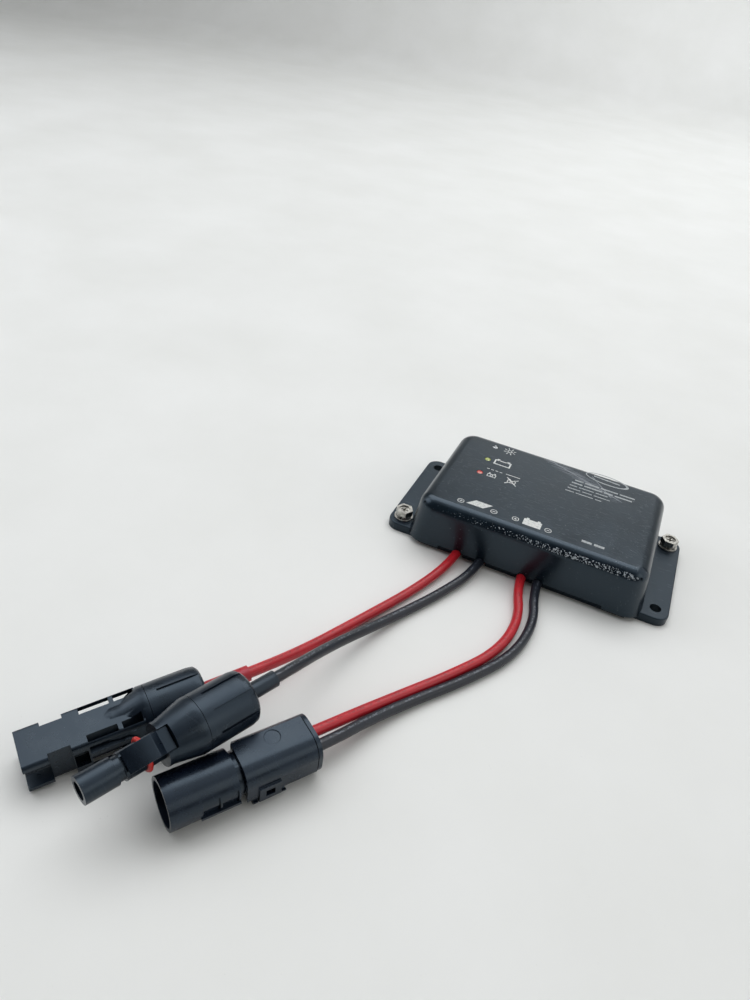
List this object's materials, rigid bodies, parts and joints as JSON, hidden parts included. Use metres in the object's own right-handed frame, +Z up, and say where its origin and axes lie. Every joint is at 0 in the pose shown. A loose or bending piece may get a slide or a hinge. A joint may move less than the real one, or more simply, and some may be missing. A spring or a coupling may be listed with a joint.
{
  "type": "solar charge controller",
  "caption": "Sealed flat solar charge controller on a flanged base plate, with short leads to locking solar couplers and a battery plug.",
  "frame": {"origin": "middle of the underside of the flanged base plate, the leads and plugs left out", "axes": "+X from flange to flange, +Z up out of the plate through the cover, and the leads leave the wall that faces -Y"},
  "size_m": [0.1826, 0.2514, 0.0308],
  "materials": {
    "cover_plastic": "gloss black moulded ABS with a faint blue cast",
    "base_coat": "satin slate coating on aluminium plate",
    "board_laminate": "green solder mask on glass laminate",
    "chip_epoxy": "moulded epoxy, matt",
    "pad_silicone": "grey silicone sheet",
    "capacitor_can": "drawn can, satin",
    "ferrite": "sintered ferrite, matt",
    "lamp_red": "tinted clear epoxy",
    "lamp_green": "tinted clear epoxy",
    "potting_resin": "cast black resin",
    "plated_steel": "zinc-plated, lightly worn",
    "spring_steel": "plated spring steel",
    "coupler_plastic": "satin black glass-filled polymer",
    "seal_rubber": "silicone rubber",
    "ring_rubber": "red silicone rubber",
    "contact_metal": "tin-plated copper",
    "sleeve_red": "shrunk polyolefin, satin",
    "sleeve_black": "shrunk polyolefin, satin",
    "plug_plastic": "satin black glass-filled polymer",
    "lead_red": "satin extruded lead jacket",
    "lead_black": "satin extruded lead jacket"
  },
  "bodies": {
    "controller": {"flanged_base": "base_coat", "top_cover": "cover_plastic", "circuit_board": "board_laminate", "power_transistors": "chip_epoxy", "thermal_pad": "pad_silicone", "filter_capacitor": "capacitor_can", "power_inductor": "ferrite", "control_chip": "chip_epoxy", "fault_lamp": "lamp_red", "battery_lamp": "lamp_green", "supply_lamp": "lamp_green", "potting_compound": "potting_resin", "flat_washers": "plated_steel", "spring_washers": "spring_steel", "flange_screws": "plated_steel", "pin_coupler_housing": "coupler_plastic", "pin_contact": "contact_metal", "pin_coupler_seal": "seal_rubber", "pin_coupler_sleeve": "sleeve_red", "socket_coupler_housing": "coupler_plastic", "socket_contact": "contact_metal", "socket_coupler_seal": "seal_rubber", "socket_coupler_sleeve": "sleeve_black", "socket_coupler_o_ring": "ring_rubber", "battery_plug_housing": "plug_plastic", "battery_face_seal": "seal_rubber", "battery_pin_red": "contact_metal", "battery_pin_black": "contact_metal", "wire_seal_red": "seal_rubber", "wire_seal_black": "seal_rubber", "solar_lead_red": "lead_red", "solar_lead_black": "lead_black", "battery_lead_red": "lead_red", "battery_lead_black": "lead_black"},
    "pin_cage": {"pin_coupler_cage": "coupler_plastic"},
    "pin_nut": {"pin_coupler_nut": "coupler_plastic"},
    "socket_cage": {"socket_coupler_cage": "coupler_plastic"},
    "socket_nut": {"socket_coupler_nut": "coupler_plastic"},
    "arm_upper": {"latch_arm_upper": "coupler_plastic"},
    "arm_lower": {"latch_arm_lower": "coupler_plastic"},
    "plug_lock": {"battery_plug_lock": "plug_plastic"}
  },
  "joints": [
    {"name": "pin_nut_back_off", "type": "slide", "parent": "controller", "child": "pin_cage", "axis": [0.5835, 0.8091, 0.0698], "range_m": [0, 0.0045]},
    {"name": "pin_nut_turn", "type": "hinge", "parent": "pin_cage", "child": "pin_nut", "pos_m": [-0.08325, -0.16842, 0.01003], "axis": [0.5835, 0.8091, 0.0698], "range_deg": [0, 1080]},
    {"name": "socket_nut_back_off", "type": "slide", "parent": "controller", "child": "socket_cage", "axis": [0.4003, 0.9164, 0], "range_m": [0, 0.0045]},
    {"name": "socket_nut_turn", "type": "hinge", "parent": "socket_cage", "child": "socket_nut", "pos_m": [-0.064, -0.17165, 0.0216], "axis": [0.4003, 0.9164, 0], "range_deg": [0, 1080]},
    {"name": "latch_upper_press", "type": "hinge", "parent": "controller", "child": "arm_upper", "pos_m": [-0.06961, -0.19124, 0.02628], "axis": [0.7936, -0.3467, -0.5], "range_deg": [0, 4], "stiffness_Nm_per_rad": 0.5},
    {"name": "latch_lower_press", "type": "hinge", "parent": "controller", "child": "arm_lower", "pos_m": [-0.07456, -0.18908, 0.01692], "axis": [-0.7936, 0.3467, 0.5], "range_deg": [0, 4], "stiffness_Nm_per_rad": 0.5},
    {"name": "plug_lock_open", "type": "hinge", "parent": "controller", "child": "plug_lock", "pos_m": [-0.0421, -0.17888, 0.0029], "axis": [0.5678, 0.8231, 0], "range_deg": [0, 90]}
  ],
  "couplings": [
    {"joint": "pin_nut_turn", "follows": "pin_nut_back_off", "rad_per_m": 4188.8},
    {"joint": "socket_nut_turn", "follows": "socket_nut_back_off", "rad_per_m": 4188.8}
  ]
}
